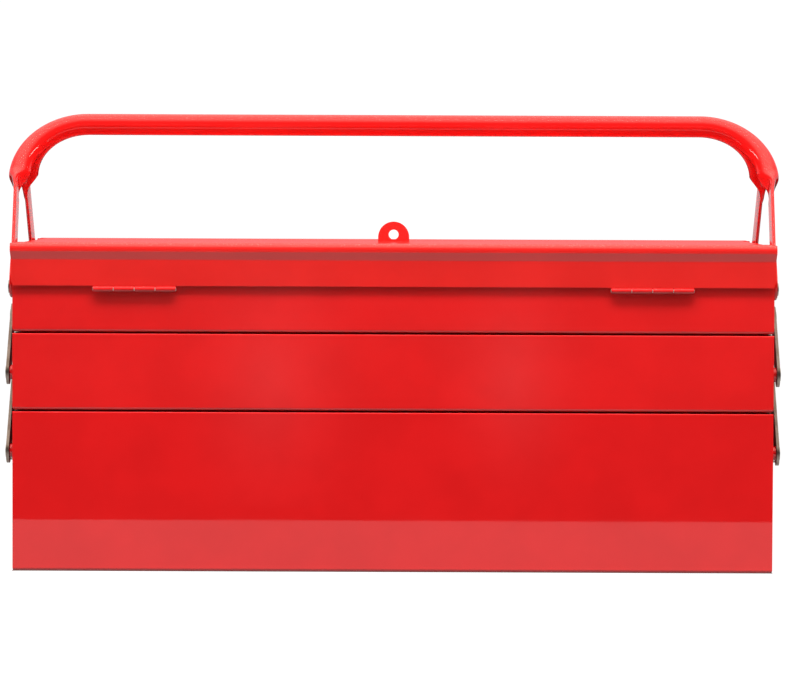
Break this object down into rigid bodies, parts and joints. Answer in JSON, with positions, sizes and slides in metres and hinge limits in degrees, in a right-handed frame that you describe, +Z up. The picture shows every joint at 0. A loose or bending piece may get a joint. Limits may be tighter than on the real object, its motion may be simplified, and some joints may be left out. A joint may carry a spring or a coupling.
{
  "type": "cantilever toolbox",
  "caption": "Red sheet-steel cantilever toolbox: base box, stepped trays that swing out on side arms, hinged lids with padlock tabs and folding tubular handles.",
  "frame": {"origin": "centre of the base underside", "axes": "+X along the length, -Y towards the front (the side with the nearer lid), +Z up"},
  "size_m": [0.5482, 0.2088, 0.3196],
  "materials": {
    "red_trays": "gloss",
    "red_lids": "gloss",
    "red_handles": "gloss",
    "red_hinges": "gloss",
    "zinc_arms": "dull zinc plate",
    "zinc_rivets": "dull zinc plate",
    "hinge_pins": "plain"
  },
  "bodies": {
    "base": {"base_end_left": "red_trays", "base_end_right": "red_trays", "base_rivets": "zinc_rivets", "base_shell": "red_trays"},
    "front_long_arms": {"front_long_arms": "zinc_arms"},
    "front_lower_arms": {"front_lower_arms": "zinc_arms"},
    "front_upper_arms": {"front_upper_arms": "zinc_arms"},
    "front_mid_tray": {"front_mid_tray_end_left": "red_trays", "front_mid_tray_end_right": "red_trays", "front_mid_tray_rivets": "zinc_rivets", "front_mid_tray_shell": "red_trays"},
    "front_top_tray": {"front_top_tray_end_left": "red_trays", "front_top_tray_end_right": "red_trays", "front_top_tray_rivets": "zinc_rivets", "front_top_tray_shell": "red_trays", "front_hinge_tray_leaves": "red_hinges", "front_hinge_pins": "hinge_pins", "front_handle_rivets": "zinc_rivets"},
    "front_lid": {"front_lid": "red_lids", "front_padlock_tab": "red_lids", "front_hinge_lid_leaves": "red_hinges"},
    "front_handle": {"front_handle": "red_handles"},
    "rear_long_arms": {"rear_long_arms": "zinc_arms"},
    "rear_lower_arms": {"rear_lower_arms": "zinc_arms"},
    "rear_upper_arms": {"rear_upper_arms": "zinc_arms"},
    "rear_mid_tray": {"rear_mid_tray_end_left": "red_trays", "rear_mid_tray_end_right": "red_trays", "rear_mid_tray_rivets": "zinc_rivets", "rear_mid_tray_shell": "red_trays"},
    "rear_top_tray": {"rear_top_tray_end_left": "red_trays", "rear_top_tray_end_right": "red_trays", "rear_top_tray_rivets": "zinc_rivets", "rear_top_tray_shell": "red_trays", "rear_hinge_tray_leaves": "red_hinges", "rear_hinge_pins": "hinge_pins", "rear_handle_rivets": "zinc_rivets"},
    "rear_lid": {"rear_lid": "red_lids", "rear_padlock_tab": "red_lids", "rear_hinge_lid_leaves": "red_hinges"},
    "rear_handle": {"rear_handle": "red_handles"}
  },
  "joints": [
    {"name": "front_tray_opening", "type": "hinge", "parent": "base", "child": "front_long_arms", "pos_m": [0, -0.09, 0.083], "axis": [1, 0, 0], "range_deg": [0, 79.94]},
    {"name": "front_mid_tray_level", "type": "hinge", "parent": "front_long_arms", "child": "front_mid_tray", "pos_m": [0, -0.0439, 0.138], "axis": [1, 0, 0], "range_deg": [-79.94, 0]},
    {"name": "front_top_tray_level", "type": "hinge", "parent": "front_long_arms", "child": "front_top_tray", "pos_m": [0, -0.0118, 0.1763], "axis": [1, 0, 0], "range_deg": [-79.94, 0]},
    {"name": "front_lower_arms_swing", "type": "hinge", "parent": "base", "child": "front_lower_arms", "pos_m": [0, -0.06182, 0.083], "axis": [1, 0, 0], "range_deg": [0, 79.94]},
    {"name": "front_upper_arms_swing", "type": "hinge", "parent": "front_mid_tray", "child": "front_upper_arms", "pos_m": [0, -0.09, 0.138], "axis": [1, 0, 0], "range_deg": [0, 79.94]},
    {"name": "front_lid_hinge", "type": "hinge", "parent": "front_top_tray", "child": "front_lid", "pos_m": [0, -0.1024, 0.1966], "axis": [1, 0, 0], "range_deg": [0, 180]},
    {"name": "front_handle_pivot", "type": "hinge", "parent": "front_top_tray", "child": "front_handle", "pos_m": [0, -0.085, 0.1975], "axis": [1, 0, 0], "range_deg": [0, 40]},
    {"name": "rear_tray_opening", "type": "hinge", "parent": "base", "child": "rear_long_arms", "pos_m": [0, 0.09, 0.083], "axis": [-1, 0, 0], "range_deg": [0, 79.94]},
    {"name": "rear_mid_tray_level", "type": "hinge", "parent": "rear_long_arms", "child": "rear_mid_tray", "pos_m": [0, 0.0439, 0.138], "axis": [-1, 0, 0], "range_deg": [-79.94, 0]},
    {"name": "rear_top_tray_level", "type": "hinge", "parent": "rear_long_arms", "child": "rear_top_tray", "pos_m": [0, 0.0118, 0.1763], "axis": [-1, 0, 0], "range_deg": [-79.94, 0]},
    {"name": "rear_lower_arms_swing", "type": "hinge", "parent": "base", "child": "rear_lower_arms", "pos_m": [0, 0.06182, 0.083], "axis": [-1, 0, 0], "range_deg": [0, 79.94]},
    {"name": "rear_upper_arms_swing", "type": "hinge", "parent": "rear_mid_tray", "child": "rear_upper_arms", "pos_m": [0, 0.09, 0.138], "axis": [-1, 0, 0], "range_deg": [0, 79.94]},
    {"name": "rear_lid_hinge", "type": "hinge", "parent": "rear_top_tray", "child": "rear_lid", "pos_m": [0, 0.1024, 0.1966], "axis": [-1, 0, 0], "range_deg": [0, 180]},
    {"name": "rear_handle_pivot", "type": "hinge", "parent": "rear_top_tray", "child": "rear_handle", "pos_m": [0, 0.085, 0.1975], "axis": [-1, 0, 0], "range_deg": [0, 40]}
  ],
  "couplings": [
    {"joint": "front_mid_tray_level", "follows": "front_tray_opening", "ratio": -1},
    {"joint": "front_top_tray_level", "follows": "front_tray_opening", "ratio": -1},
    {"joint": "front_lower_arms_swing", "follows": "front_tray_opening", "ratio": 1},
    {"joint": "front_upper_arms_swing", "follows": "front_tray_opening", "ratio": 1},
    {"joint": "rear_mid_tray_level", "follows": "rear_tray_opening", "ratio": -1},
    {"joint": "rear_top_tray_level", "follows": "rear_tray_opening", "ratio": -1},
    {"joint": "rear_lower_arms_swing", "follows": "rear_tray_opening", "ratio": 1},
    {"joint": "rear_upper_arms_swing", "follows": "rear_tray_opening", "ratio": 1}
  ]
}
